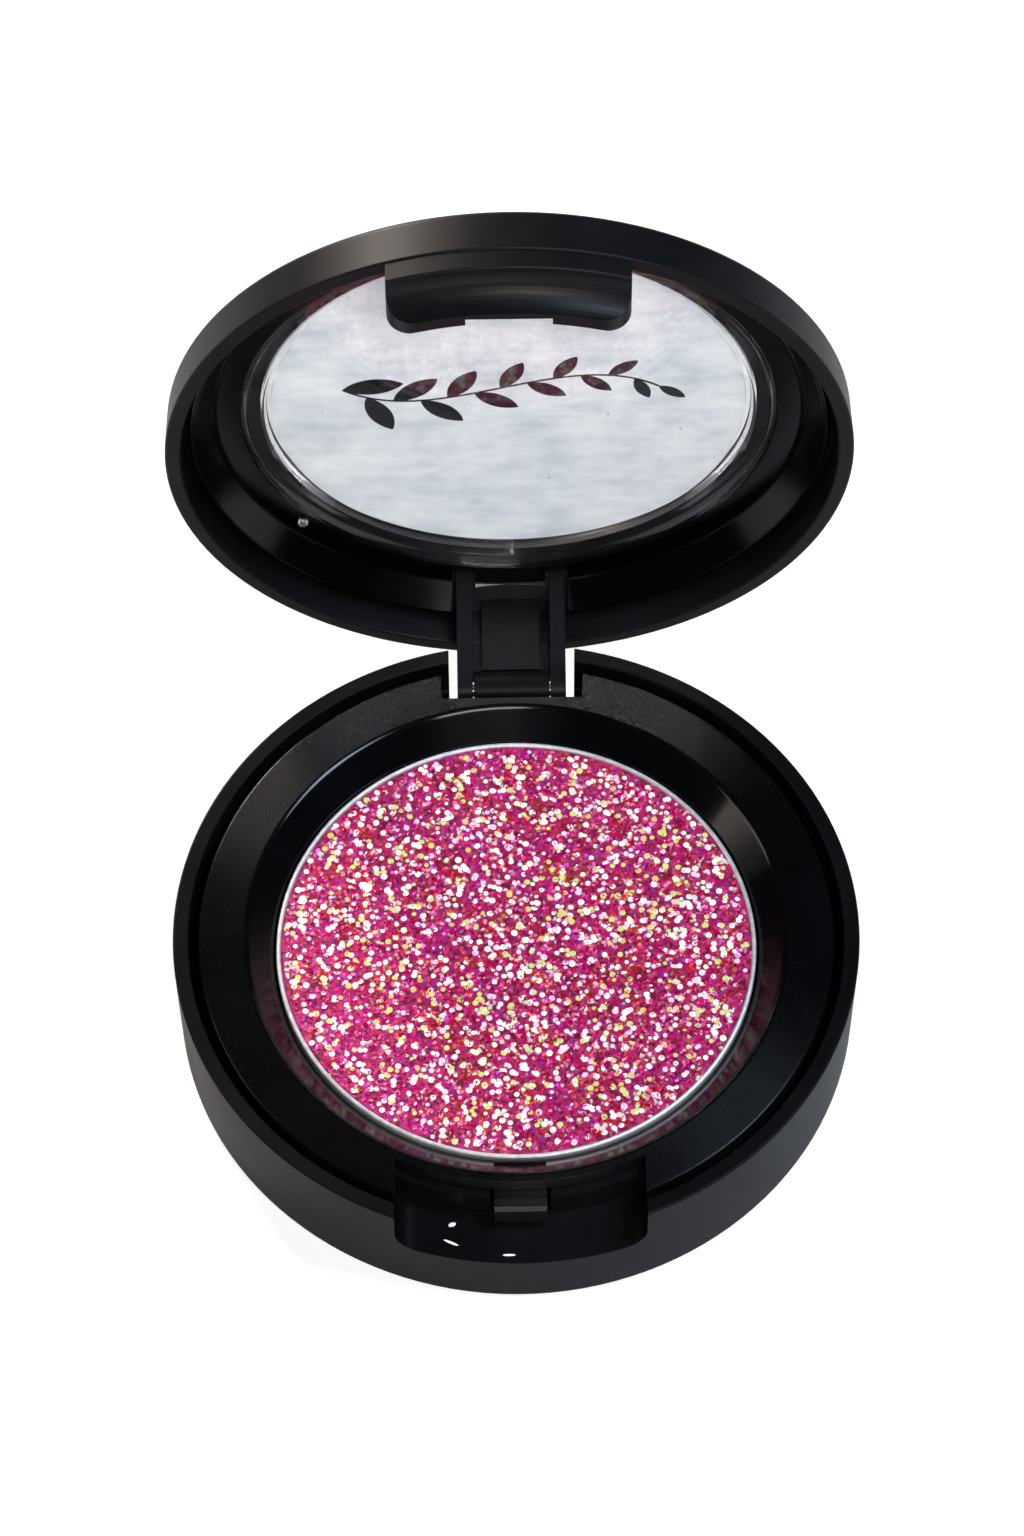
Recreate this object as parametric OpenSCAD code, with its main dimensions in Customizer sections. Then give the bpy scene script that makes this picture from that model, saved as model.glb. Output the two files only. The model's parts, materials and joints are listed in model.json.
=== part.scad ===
// Round single eyeshadow compact: a pressed glitter cake in a metal pan, held in a
// black moulded base, under a hinged lid with a clear window and a printed disc.
// The base stands on Z = 0 with its round axis on Z. The hinge is at the back (+Y)
// and the finger pocket at the front (-Y). The lid stands open.

/* [Pan] */
// Outside diameter of the metal pan, a standard 36.5 mm size
pan_d = 36.5; // [28:0.5:48]
// Height of the pan
pan_h = 3.5; // [2.5:0.1:4.5]
// Wall of the pan
pan_t = 0.35; // [0.25:0.05:0.6]
// How far the pan's edge lies below the base rim
pan_drop = 2.1; // [1.8:0.1:2.8]
// Gap around the pan
pan_gap = 0.2; // [0.1:0.05:0.8]
// Thickness of the glue under the pan
glue_t = 0.2; // [0.1:0.05:0.3]
// Diameter of the glue spot
glue_d = 24; // [10:1:28]
// How far the glitter cake lies below the pan's edge
cake_drop = 0.12; // [0.05:0.01:0.4]

/* [Base] */
// Height of the base
base_h = 10; // [8:0.25:13]
// Thickness of the base floor
floor_t = 1.3; // [1:0.1:1.6]
// Width of the base rim, which is also the wall
rim_w = 1.2; // [1:0.05:1.5]
// How much narrower the base is at its foot, on the radius
base_draft = 0.2; // [0.1:0.05:0.5]
// Rounding of the outer bottom edge
foot_round = 0.5; // [0.3:0.05:0.8]
// Rounding of the rim edges
rim_round = 0.15; // [0.1:0.01:0.25]
// Width of the ring that the base stands on
foot_w = 3.2; // [2:0.1:5]
// Depth of the underside recess for the label
recess_d = 0.3; // [0.2:0.05:0.4]
// Thickness of the underside label
base_label_t = 0.12; // [0.08:0.01:0.15]
// Radius of the ring rib that carries the inner frame
rib_r = 15; // [8:0.5:15]
// Thickness of that rib
rib_t = 1; // [0.8:0.1:1.5]

/* [Inner frame] */
// Width of the sloping edge around the pan
slope_w = 2; // [1:0.1:2.5]
// Height of that slope
slope_h = 2.05; // [1.2:0.05:2.2]
// Rounding between the slope and the deck
slope_round = 0.7; // [0.4:0.05:0.9]
// Width of the flat deck
deck_w = 3.25; // [2:0.05:5]
// Thickness of the deck
deck_t = 1.25; // [1:0.05:1.4]
// How far the deck lies below the base rim
deck_drop = 0.3; // [0.2:0.05:0.5]
// Gap between the deck and the base rim
frame_gap = 0.75; // [0.6:0.05:1]
// Wall of the well and of the skirt
frame_t = 1; // [0.8:0.05:1.1]
// Thickness of the well floor
well_floor_t = 0.8; // [0.6:0.05:1]
// Depth of the skirt below the deck's top
skirt_h = 3.1; // [2.5:0.1:3.5]
// Number of snap lugs that hold the frame in the base
lugs = 4; // [4:1:6]
// Width of a snap lug
lug_w = 5; // [3:0.5:6]

/* [Finger pocket and catch] */
// Width of the pocket
pocket_w = 18.7; // [15:0.1:22]
// Depth of the pocket below the rim
pocket_h = 4.4; // [4:0.1:5]
// Rounding of the pocket's lower corners
pocket_round = 1.5; // [0.5:0.1:2]
// Deck left in front of the slope at the pocket
front_land = 0.45; // [0.3:0.05:0.8]
// Step from the deck's front edge to the pocket's back wall
pocket_step = 0.65; // [0.4:0.05:0.9]
// Wall of the pocket
pocket_t = 1; // [0.8:0.05:1.1]
// Width of the catch
catch_w = 3.9; // [3:0.1:5]
// Height of the catch
catch_h = 1.9; // [1.5:0.1:2.2]
// How far the catch stands out of the back wall
catch_out = 0.9; // [0.6:0.05:1]
// Space between the catch and the pocket floor
catch_lift = 0.7; // [0.4:0.05:0.9]
// Gap around the catch in its slot
catch_gap = 0.3; // [0.2:0.05:0.4]
// Gap between the pocket's walls and the frame's skirt
skirt_gap = 0.2; // [0.1:0.05:0.4]

/* [Hinge] */
// Radius of the hinge barrel and of the ends of the lid's arms
barrel_r = 1.5; // [1.3:0.05:1.6]
// Width of the barrel
barrel_w = 5.9; // [4:0.1:8]
// How far the hinge axis lies below the base rim
hinge_drop = 4.4; // [4:0.1:5]
// Thickness of a lid arm
arm_t = 1.2; // [1:0.05:1.5]
// Gap between an arm and the barrel
arm_gap = 0.1; // [0.05:0.01:0.2]
// Gap between an arm and the side of the hinge notch
notch_gap = 0.65; // [0.4:0.05:0.9]
// Space under the arms in the notch
notch_under = 1.7; // [1:0.1:2]
// Radius of the steel hinge pin
pin_r = 0.5; // [0.4:0.05:0.6]
// Clearance of the pin in the barrel, on the radius
pin_run = 0.05; // [0.03:0.01:0.09]
// Clearance of the pin in the arms, on the radius
pin_seat = 0.01; // [0.01:0.005:0.02]
// Gap between the web and an arm
web_side_gap = 0.75; // [0.5:0.05:1]
// Thickness of the web
web_t = 1.87; // [1.4:0.01:2]
// Gap between the web and the barrel
web_gap = 0.15; // [0.1:0.05:0.25]
// How far the web stands out from the wall between the arms
web_step = 0.7; // [0.3:0.05:1]
// Space between the web and the edge of the liner
web_cut = 1.5; // [0.3:0.1:2]
// How much wider the cut in the deck is than the hinge notch, on each side
hinge_cut_gap = 0.6; // [0.2:0.1:1]
// Deck left behind the slope at the hinge
back_land = 0.4; // [0.3:0.05:0.8]
// Angle that the lid stands open at
open_angle = 91; // [85:1:100]

/* [Lid] */
// Height of the lid
lid_h = 6.3; // [5:0.1:8]
// Gap between the base rim and the closed lid
lid_gap = 0.15; // [0.1:0.05:0.25]
// Height of the lid's straight side
side_h = 3.3; // [2.6:0.1:4]
// How much narrower the lid is at the top of its side, on the radius
lid_draft = 0.13; // [0.05:0.01:0.3]
// Width of the sloping shoulder
shoulder_w = 4.07; // [3:0.05:5]
// Rounding of the shoulder's edges
shoulder_round = 0.6; // [0.3:0.05:0.8]
// Wall of the lid at the shoulder and around the window
lid_t = 0.65; // [0.55:0.05:0.8]
// Roof of the lid around the window
roof_t = 1.2; // [1:0.05:1.4]
// Gap between the lid's side wall and the liner
liner_gap = 0.5; // [0.3:0.05:0.7]
// Depth of the liner's edge inside the lid
liner_edge = 2.1; // [1.6:0.1:2.4]
// Width of the liner's curved side
liner_side_w = 2; // [1.5:0.1:2.5]
// Gap between the liner and the lid's roof
liner_clear = 0.08; // [0.05:0.01:0.12]
// Width of the liner's flat floor
land_w = 1.9; // [1.4:0.1:2.5]
// Thickness of the liner's flat floor and of the window's flange
land_t = 0.72; // [0.6:0.02:0.8]

/* [Window and label] */
// Gap around the window
window_gap = 0.12; // [0.08:0.01:0.2]
// Width of the window's flange
flange_w = 1.55; // [1.2:0.05:2]
// Thickness of the window's clear middle
window_t = 0.65; // [0.5:0.05:0.9]
// How far the window's outer face lies below the lid's top
window_drop = 0.55; // [0.4:0.05:0.7]
// Width of the window's sloping inner edge
window_slope = 0.75; // [0.5:0.05:1]
// Thickness of the printed label
label_t = 0.12; // [0.08:0.01:0.15]
// Margin between the label and the window's edge
label_margin = 0.45; // [0.3:0.05:0.6]

/* [Lid tab] */
// Gap between the tab and the side of the pocket
tab_side_gap = 0.45; // [0.3:0.05:0.8]
// Gap between the tab's end and the pocket floor
tab_gap = 0.5; // [0.1:0.05:0.6]
// Height of the tab's outer face below the lid rim
tab_face_h = 1.65; // [1.2:0.05:2]
// How far the tab's outer face lies inside the lid's side
tab_inset = 0.12; // [0.05:0.01:0.2]
// Gap between the tab and the pocket's back wall
tab_back_gap = 0.4; // [0.25:0.05:0.5]
// Thickness of the tab's end
tab_end_t = 1.2; // [1:0.05:1.4]
// Rounding of the tab's end corners
tab_round = 2.6; // [1:0.1:3]
// Gap between the catch and the side of its relief in the tab's end
relief_gap = 1.2; // [0.5:0.1:1.5]
// Clearance between the catch and the tab
catch_clear = 0.2; // [0.15:0.05:0.3]
// Height of the snap rib in the relief
snap_rib = 0.1; // [0.05:0.01:0.12]

/* [Hidden] */
$fn = 128;
eps = 0.01;
big = 100;

// Radii of the base, from the pan outwards
pan_r = pan_d / 2;
well_r = pan_r + pan_gap;
slope_r = well_r + slope_w;
deck_in_r = slope_r + slope_round / 2;
frame_r = deck_in_r + deck_w;
rim_in_r = frame_r + frame_gap;
body_r = rim_in_r + rim_w;

// Heights in the base
deck_z = base_h - deck_drop;
deck_under_z = deck_z - deck_t;
pan_top_z = base_h - pan_drop;
pan_z = pan_top_z - pan_h;
well_z = pan_z - glue_t;
well_under_z = well_z - well_floor_t;
lip_z = deck_z - slope_h;
lip_round = 0.12;
lug_z = deck_z - skirt_h;
lug_h = 0.6;
lug_out = frame_gap * 0.75;
bead_z = lug_z + lug_h + 0.15;
bead_h = 0.5;
bead_w = lug_w + 1;
pan_draft = 0.15;
pan_fillet = 0.6;

// Finger pocket and catch
pocket_z = base_h - pocket_h;
front_r = deck_in_r + front_land;
pocket_r = front_r + pocket_step;
trough_w = pocket_w + 2 * pocket_t;
trough_top_z = deck_under_z - 0.15;
deck_cut_w = pocket_w - 0.1;
catch_z = pocket_z + catch_lift;
catch_r = pocket_r + catch_out;

// Hinge
hinge_y = body_r - barrel_r;
hinge_z = base_h - hinge_drop;
arm_in = barrel_w / 2 + arm_gap;
arm_out = arm_in + arm_t;
notch_w = 2 * (arm_out + notch_gap);
notch_z = hinge_z - barrel_r - notch_under;
hinge_cut_w = notch_w + 2 * hinge_cut_gap;
stem_w = 1.1;
back_y = deck_in_r + back_land;

// Lid, closed: heights above the lid's rim
lid_z = base_h + lid_gap;
side_r = body_r - lid_draft;
top_r = side_r - shoulder_w;
shoulder_a = atan2(lid_h - side_h, shoulder_w);
roof_u = lid_h - roof_t;
shoulder_v = lid_t / cos(shoulder_a);
liner_r = rim_in_r - liner_gap;
liner_in_r = liner_r - liner_side_w;
land_r = liner_in_r - land_w;
liner_top = roof_u - liner_clear;
liner_floor = liner_top - land_t;
flange_r = land_r - window_gap;
window_r = flange_r - flange_w;
window_u = lid_h - window_drop;
label_r = window_r - label_margin;
web_y = side_r - web_t;
web_w = 2 * (arm_in - web_side_gap);
web_top_u = shoulder_u(web_y) - shoulder_v + eps;
arm_y = land_r + 0.6;
slot_gap = 0.3;

// Tab, closed
tab_w = pocket_w - 2 * tab_side_gap;
tab_r = body_r - tab_inset;
tab_in_r = pocket_r + tab_back_gap;
tab_u = pocket_z + tab_gap - lid_z;
scoop_r = tab_in_r + tab_end_t;
tab_edge = 0.15;
tab_root = 1.2;
relief_w = catch_w + 2 * relief_gap;
relief_r = catch_r + catch_clear;
relief_top = 0.7;
snap_u = tab_u + catch_lift - tab_gap - 0.05;

// Points of an arc around a centre, from one angle to another
function arc(c, r, from, to, n = 6) =
    [for (i = [0:n]) c + r * [cos(from + (to - from) * i / n), sin(from + (to - from) * i / n)]];

// Points of a quarter of an ellipse around a centre
function oval(c, rx, ry, from, to, n = 12) =
    [for (i = [0:n]) c + [rx * cos(from + (to - from) * i / n), ry * sin(from + (to - from) * i / n)]];

// Height of the lid's outer shoulder at a radius
function shoulder_u(r) = side_h + (side_r - r) * tan(shoulder_a);

// Turns the lid's pieces from closed to open around the hinge axis
module opened() {
    translate([0, hinge_y, hinge_z]) rotate([-open_angle, 0, 0]) translate([0, -hinge_y, -hinge_z])
        children();
}

// A block centred on X, given its Y and Z spans
module slab(w, y0, y1, z0, z1) {
    translate([-w / 2, y0, z0]) cube([w, y1 - y0, z1 - z0]);
}

// A plate standing across X, from its outline in Y and Z
module plate_x(x0, x1) {
    translate([x0, 0, 0]) rotate([90, 0, 90]) linear_extrude(x1 - x0) children();
}

// A rod along X on the hinge axis
module hinge_rod(r, x0, x1) {
    translate([x0, hinge_y, hinge_z]) rotate([0, 90, 0]) cylinder(r = r, h = x1 - x0);
}

// The front pocket's opening: straight sides and round lower corners
module pocket_mouth(w, z, r) {
    rotate([90, 0, 0]) linear_extrude(big) {
        translate([-w / 2, z + r]) square([w, base_h]);
        translate([-w / 2 + r, z]) square([w - 2 * r, base_h]);
        for (s = [-1, 1]) translate([s * (w / 2 - r), z + r]) circle(r = r, $fn = 32);
    }
}

// Ring segments for the snap fit, spread evenly around the axis
module around(n, w, r0, r1, z, h) {
    first = 45;
    for (i = [0:n - 1]) intersection() {
        rotate_extrude() translate([r0, z]) square([r1 - r0, h]);
        rotate([0, 0, first + i * 360 / n]) translate([0, -w / 2, z]) cube([big, w, h]);
    }
}

// ---- Base ----

// Outer moulding: floor, wall, rim, pocket, hinge notch and barrel
module base_shell() {
    color("#2a2929") difference() {
        union() {
            difference() {
                base_cup();
                pocket_mouth(pocket_w, pocket_z, pocket_round);
                difference() {
                    slab(notch_w, 0, big, notch_z, big);
                    cylinder(r = rim_in_r - eps, h = big);
                }
            }
            pocket_trough();
            hinge_barrel();
            rotate_extrude() translate([rib_r - rib_t, floor_t - eps])
                square([rib_t, well_under_z - floor_t + eps]);
        }
        hinge_rod(pin_r + pin_run, -barrel_w, barrel_w);
    }
}

module base_cup() {
    foot_r = body_r - base_draft;
    rotate_extrude() polygon(concat(
        [[0, recess_d], [foot_r - foot_w, recess_d], [foot_r - foot_w, 0]],
        arc([foot_r - foot_round, foot_round], foot_round, -90, 0),
        arc([body_r - rim_round, base_h - rim_round], rim_round, 0, 90, 4),
        arc([rim_in_r + rim_round, base_h - rim_round], rim_round, 90, 180, 4),
        [[rim_in_r, floor_t], [0, floor_t]]
    ));
    around(lugs, bead_w, rim_in_r - lug_out, rim_in_r + eps, bead_z, bead_h);
}

// Floor, back wall and side walls of the finger pocket, with the slot for the catch
module pocket_trough() {
    difference() {
        intersection() {
            slab(trough_w, -big, 0, pocket_z - pocket_t, trough_top_z);
            difference() {
                cylinder(r = rim_in_r + eps, h = base_h);
                translate([0, 0, -eps]) cylinder(r = pocket_r - pocket_t, h = base_h);
            }
        }
        difference() {
            pocket_mouth(pocket_w, pocket_z, pocket_round);
            translate([0, 0, -eps]) cylinder(r = pocket_r, h = big);
        }
        slab(catch_w + 2 * catch_gap, -pocket_r - eps, 0, catch_z - catch_gap, big);
    }
}

// Centre knuckle of the hinge on its stem
module hinge_barrel() {
    hinge_rod(barrel_r, -barrel_w / 2, barrel_w / 2);
    intersection() {
        slab(barrel_w, hinge_y - stem_w, big, floor_t - eps, hinge_z);
        cylinder(r = body_r - base_draft, h = big);
    }
}

// Inner frame: deck, slope, well for the pan, skirt with snap lugs, and the catch
module base_frame() {
    color("#1f1f22") {
        difference() {
            union() {
                frame_ring();
                around(lugs, lug_w, frame_r - frame_t, frame_r + lug_out, lug_z, lug_h);
            }
            difference() {
                slab(deck_cut_w, -big, 0, 0, big);
                cylinder(r = front_r, h = big);
            }
            difference() {
                slab(trough_w + 2 * skirt_gap, -big, 0, 0, deck_under_z);
                cylinder(r = well_r + frame_t + eps, h = big);
            }
            slab(hinge_cut_w, back_y, big, 0, big);
        }
        latch_catch();
    }
}

module frame_ring() {
    slope_a = atan2(slope_h, slope_w);
    round_r = slope_r + slope_round * tan(slope_a / 2);
    rotate_extrude() polygon(concat(
        [[0, well_under_z], [well_r + frame_t, well_under_z], [well_r + frame_t, deck_under_z],
            [frame_r - frame_t, deck_under_z], [frame_r - frame_t, lug_z], [frame_r, lug_z]],
        arc([frame_r - rim_round, deck_z - rim_round], rim_round, 0, 90, 4),
        arc([round_r, deck_z - slope_round], slope_round, 90, 90 + slope_a, 6),
        [[well_r + lip_round, lip_z + lip_round * tan(slope_a)], [well_r, lip_z], [well_r, well_z],
            [0, well_z]]
    ));
}

// Catch block: passes through the slot in the pocket's back wall
module latch_catch() {
    edge = 0.25;
    top = catch_z + catch_h;
    back_top = top + 0.15;
    root_r = well_r + frame_t / 2;
    plate_x(-catch_w / 2, catch_w / 2) polygon([
        [-root_r, deck_under_z + eps], [-pocket_r + pocket_t, deck_under_z + eps],
        [-pocket_r + pocket_t, back_top], [-pocket_r, back_top], [-catch_r + edge, top],
        [-catch_r, top - edge], [-catch_r, catch_z], [-root_r, catch_z]
    ]);
}

// Stamped metal pan
module eyeshadow_pan() {
    foot_r = pan_r - pan_draft;
    color("silver") rotate_extrude() polygon(concat(
        [[0, pan_z]],
        arc([foot_r - pan_fillet, pan_z + pan_fillet], pan_fillet, -90, 0),
        arc([pan_r - pan_t / 2, pan_top_z - pan_t / 2], pan_t / 2, 0, 180),
        [[foot_r - pan_t, pan_z + pan_fillet], [foot_r - pan_fillet, pan_z + pan_t], [0, pan_z + pan_t]]
    ));
}

// Glue spot between the pan and the well
module pan_glue() {
    color("white") translate([0, 0, well_z]) cylinder(d = glue_d, h = glue_t);
}

// Pressed glitter, with a low crown
module glitter_cake() {
    crown = 0.08;
    edge = 0.1;
    gap = 0.02;
    in_r = pan_r - pan_t - gap;
    foot_r = pan_r - pan_draft - pan_fillet - gap;
    mid_r = in_r * 0.7;
    top = pan_top_z - cake_drop;
    color("#c02a7a") rotate_extrude() polygon([
        [0, pan_z + pan_t], [foot_r, pan_z + pan_t], [in_r - pan_draft, pan_z + pan_fillet + gap],
        [in_r, top - edge], [in_r - edge, top], [mid_r, top + crown / 2], [0, top + crown]
    ]);
}

// Round label in the underside recess
module base_label() {
    gap = 0.5;
    color("white") translate([0, 0, recess_d - base_label_t])
        cylinder(r = body_r - base_draft - foot_w - gap, h = base_label_t);
}

// ---- Hinge and lid ----

// Steel pin through the arms and the barrel
module hinge_pin() {
    color("silver") opened() hinge_rod(pin_r, -arm_out, arm_out);
}

// Lid moulding: side, shoulder, roof ring, tab, arms and web
module lid_shell() {
    color("#2a2929") opened() difference() {
        union() {
            translate([0, 0, lid_z]) {
                rotate_extrude() lid_section();
                lid_tab();
            }
            intersection() {
                union() {
                    hinge_arms();
                    hinge_web();
                }
                lid_envelope();
            }
        }
        hinge_rod(pin_r + pin_seat, -big, big);
    }
}

module lid_section() {
    r = shoulder_round;
    half = shoulder_a / 2;
    mouth_r = window_r + window_gap;
    mouth_edge = 0.2;
    polygon(concat(
        arc([rim_in_r + rim_round, rim_round], rim_round, 180, 270, 4),
        arc([body_r - rim_round, rim_round], rim_round, -90, 0, 4),
        arc([side_r - r, side_h - r * tan(half)], r, 0, 90 - shoulder_a),
        arc([top_r - r * tan(half), lid_h - r], r, 90 - shoulder_a, 90),
        [[mouth_r + mouth_edge, lid_h], [mouth_r, lid_h - mouth_edge], [mouth_r, roof_u],
            [shoulder_foot_r(), roof_u],
            [rim_in_r, shoulder_u(rim_in_r) - shoulder_v]]
    ));
}

// Radius where the shoulder's inner face meets the roof
function shoulder_foot_r() = side_r - (roof_u + shoulder_v - side_h) / tan(shoulder_a);

// Space that the lid's outside may fill, above and below its rim
module lid_envelope() {
    skin = 0.15;
    translate([0, 0, lid_z]) rotate_extrude() polygon([
        [0, -big], [body_r, -big], [body_r, 0], [side_r, side_h - skin],
        [top_r, lid_h - skin], [0, lid_h - skin]
    ]);
}

// Two arms from the lid's roof down to the pin
module hinge_arms() {
    top_z = lid_z + roof_u + eps;
    reach = [arm_y - hinge_y, top_z - hinge_z];
    turn = atan2(reach[1], reach[0]) + acos(barrel_r / norm(reach));
    touch = [hinge_y, hinge_z] + barrel_r * [cos(turn), sin(turn)];
    for (x0 = [-arm_out, arm_in]) {
        hinge_rod(barrel_r, x0, x0 + arm_t);
        plate_x(x0, x0 + arm_t) polygon([
            touch, [hinge_y, hinge_z], [body_r, hinge_z], [body_r, top_z], [arm_y, top_z]
        ]);
    }
}

// The lid's back wall carried down to the barrel between the arms, with a web in its middle
module hinge_web() {
    foot_z = hinge_z + barrel_r + web_gap;
    slab(web_w, web_y, side_r, foot_z, lid_z + web_top_u);
    slab(2 * arm_in + 2 * eps, web_y + web_step, side_r, foot_z, lid_z + web_top_u);
}

// Front tab with a finger scoop, corner rounds and the relief for the catch
module lid_tab() {
    lip_r = tab_r - 2 * tab_edge;
    difference() {
        intersection() {
            rotate_extrude() polygon(concat(
                [[tab_in_r, tab_root], [tab_in_r, tab_u + tab_edge], [tab_in_r + tab_edge, tab_u]],
                oval([lip_r, tab_u], lip_r - scoop_r, -tab_u - tab_face_h, 180, 90),
                arc([tab_r - tab_edge, tab_edge - tab_face_h], tab_edge, -90, 0, 4),
                [[tab_r, tab_root]]
            ));
            translate([0, 0, -lid_z]) pocket_mouth(tab_w, lid_z + tab_u, tab_round);
        }
        difference() {
            slab(relief_w, -relief_r, 0, -big, relief_top);
            slab(relief_w, -relief_r, -relief_r + snap_rib, -big, snap_u);
        }
    }
}

// Glossy inner liner with slots for the arms and the web
module lid_liner() {
    color("#141418") opened() difference() {
        translate([0, 0, lid_z]) rotate_extrude() liner_section();
        for (s = [-1, 1]) translate([s * (arm_in + arm_t / 2), 0, 0])
            slab(arm_t + 2 * slot_gap, arm_y - slot_gap, big, 0, big);
        slab(2 * arm_in, web_y - web_cut, big, 0, big);
    }
}

module liner_section() {
    e = 0.3;
    r = 0.5;
    edge_u = shoulder_u(liner_r) - shoulder_v - liner_clear / cos(shoulder_a);
    foot_r = shoulder_foot_r() - liner_clear;
    polygon(concat(
        [[liner_r, edge_u], [foot_r, liner_top], [land_r, liner_top], [land_r, liner_floor]],
        arc([liner_in_r - r * sin(45) / 2, liner_floor - r], r, 90, 45, 4),
        arc([liner_r - e, liner_edge + e], e, 225, 360, 6)
    ));
}

// Clear window: a thick flange and a thin recessed middle
module lid_window() {
    in_u = window_u - window_t;
    c = 0.15;
    ring_in = flange_r - 0.55;
    ring_out = flange_r - 0.2;
    color("LightCyan", 0.4) opened() translate([0, 0, lid_z]) rotate_extrude() polygon(concat(
        [[0, in_u], [window_r - window_slope, in_u]],
        [[window_r - c, liner_floor + c], [window_r, liner_floor], [ring_in, liner_floor],
            [ring_in + c, liner_floor + c], [ring_out - c, liner_floor + c],
            [ring_out, liner_floor], [flange_r - c, liner_floor],
            [flange_r, liner_floor + c], [flange_r, liner_top],
            [window_r, liner_top], [window_r, window_u], [0, window_u]]
    ));
}

// Printed film on the window's outer face
module lid_label() {
    color("WhiteSmoke") opened() translate([0, 0, lid_z + window_u]) cylinder(r = label_r, h = label_t);
}

base_shell();
base_frame();
eyeshadow_pan();
pan_glue();
glitter_cake();
base_label();
hinge_pin();
lid_shell();
lid_liner();
lid_window();
lid_label();
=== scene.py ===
import json
import math

import bmesh
import bpy
from mathutils import Matrix, Vector


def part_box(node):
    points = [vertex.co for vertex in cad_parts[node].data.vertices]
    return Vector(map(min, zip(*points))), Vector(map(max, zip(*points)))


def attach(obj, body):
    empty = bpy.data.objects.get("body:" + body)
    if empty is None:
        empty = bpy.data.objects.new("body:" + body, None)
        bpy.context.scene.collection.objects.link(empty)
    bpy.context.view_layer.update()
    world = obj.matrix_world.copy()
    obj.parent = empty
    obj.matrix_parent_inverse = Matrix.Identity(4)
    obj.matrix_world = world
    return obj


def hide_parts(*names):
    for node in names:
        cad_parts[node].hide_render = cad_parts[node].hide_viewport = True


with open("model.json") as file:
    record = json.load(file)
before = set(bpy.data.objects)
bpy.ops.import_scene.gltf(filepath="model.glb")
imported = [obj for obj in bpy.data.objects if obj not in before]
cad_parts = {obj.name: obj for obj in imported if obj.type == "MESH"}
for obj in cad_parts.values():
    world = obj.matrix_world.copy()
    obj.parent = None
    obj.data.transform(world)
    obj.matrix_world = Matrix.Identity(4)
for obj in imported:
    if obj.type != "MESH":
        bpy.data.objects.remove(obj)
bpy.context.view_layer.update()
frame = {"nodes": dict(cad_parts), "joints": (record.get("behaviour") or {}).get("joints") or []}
nodes = frame["nodes"]
mm = 0.001

print("compact: frame loaded,", len(nodes), "moulded parts")

# the lid is drawn shut and then turned open about its pin
hinge = frame["joints"][0]
pinPoint = Vector(hinge["pos_m"])
openTurn = math.radians(hinge["range_deg"][1])
toOpen = Matrix.Translation(pinPoint) @ Matrix.Rotation(-openTurn, 4, "X") @ Matrix.Translation(-pinPoint)


def shutCentre(name):
    low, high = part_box(name)
    return toOpen.inverted() @ ((low + high) / 2)


# helpers for node trees and finished pieces


def addNode(tree, kind, inputs=None, **settings):
    node = tree.nodes.new(kind)
    for key, value in settings.items():
        setattr(node, key, value)
    for key, value in (inputs or {}).items():
        if isinstance(value, bpy.types.NodeSocket):
            tree.links.new(value, node.inputs[key])
        else:
            node.inputs[key].default_value = value
    return node


def calc(tree, operation, a, b=0.0):
    return addNode(tree, "ShaderNodeMath", {0: a, 1: b}, operation=operation).outputs[0]


def newMaterial(name):
    material = bpy.data.materials.new(name)
    material.use_nodes = True
    return material, material.node_tree, material.node_tree.nodes["Principled BSDF"]


def objectPoint(tree, stretch=(1, 1, 1)):
    coords = addNode(tree, "ShaderNodeTexCoord").outputs["Object"]
    return addNode(tree, "ShaderNodeMapping", {"Vector": coords, "Scale": stretch}).outputs["Vector"]


def fromAxis(tree):
    flat = objectPoint(tree, (1, 1, 0))
    return addNode(tree, "ShaderNodeVectorMath", {0: flat}, operation="LENGTH").outputs["Value"]


def noise(tree, point, size, detail=2.0, rough=0.5):
    inputs = {"Vector": point, "Scale": 1 / size, "Detail": detail, "Roughness": rough}
    return addNode(tree, "ShaderNodeTexNoise", inputs).outputs["Fac"]


def spread(tree, value, low, high, fromLow=0.3, fromHigh=0.7):
    inputs = {"Value": value, "From Min": fromLow, "From Max": fromHigh, "To Min": low, "To Max": high}
    return addNode(tree, "ShaderNodeMapRange", inputs).outputs["Result"]


def ramp(tree, value, stops, steps=False):
    node = addNode(tree, "ShaderNodeValToRGB", {"Fac": value})
    node.color_ramp.interpolation = "CONSTANT" if steps else "LINEAR"
    marks = node.color_ramp.elements
    while len(marks) < len(stops):
        marks.new(1.0)
    for mark, (place, colour) in zip(marks, stops):
        mark.position = place
        mark.color = (*colour, 1)
    return node.outputs["Color"]


def bump(tree, height, depth):
    return addNode(tree, "ShaderNodeBump", {"Height": height, "Distance": depth, "Strength": 1.0}).outputs[0]


def startTree(name, kinds):
    tree = bpy.data.node_groups.new(name, "GeometryNodeTree")
    face = tree.interface
    sockets = {}
    for title, kind in kinds:
        sockets[title] = face.new_socket(title, in_out="INPUT", socket_type="NodeSocket" + kind).identifier
    face.new_socket("Geometry", in_out="OUTPUT", socket_type="NodeSocketGeometry")
    return tree, sockets, tree.nodes.new("NodeGroupInput").outputs


def endTree(tree, geometry, finish):
    real = addNode(tree, "GeometryNodeRealizeInstances", {"Geometry": geometry}).outputs[0]
    done = addNode(tree, "GeometryNodeSetMaterial", {"Geometry": real, "Material": finish}).outputs[0]
    addNode(tree, "NodeGroupOutput", {0: done})


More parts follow.
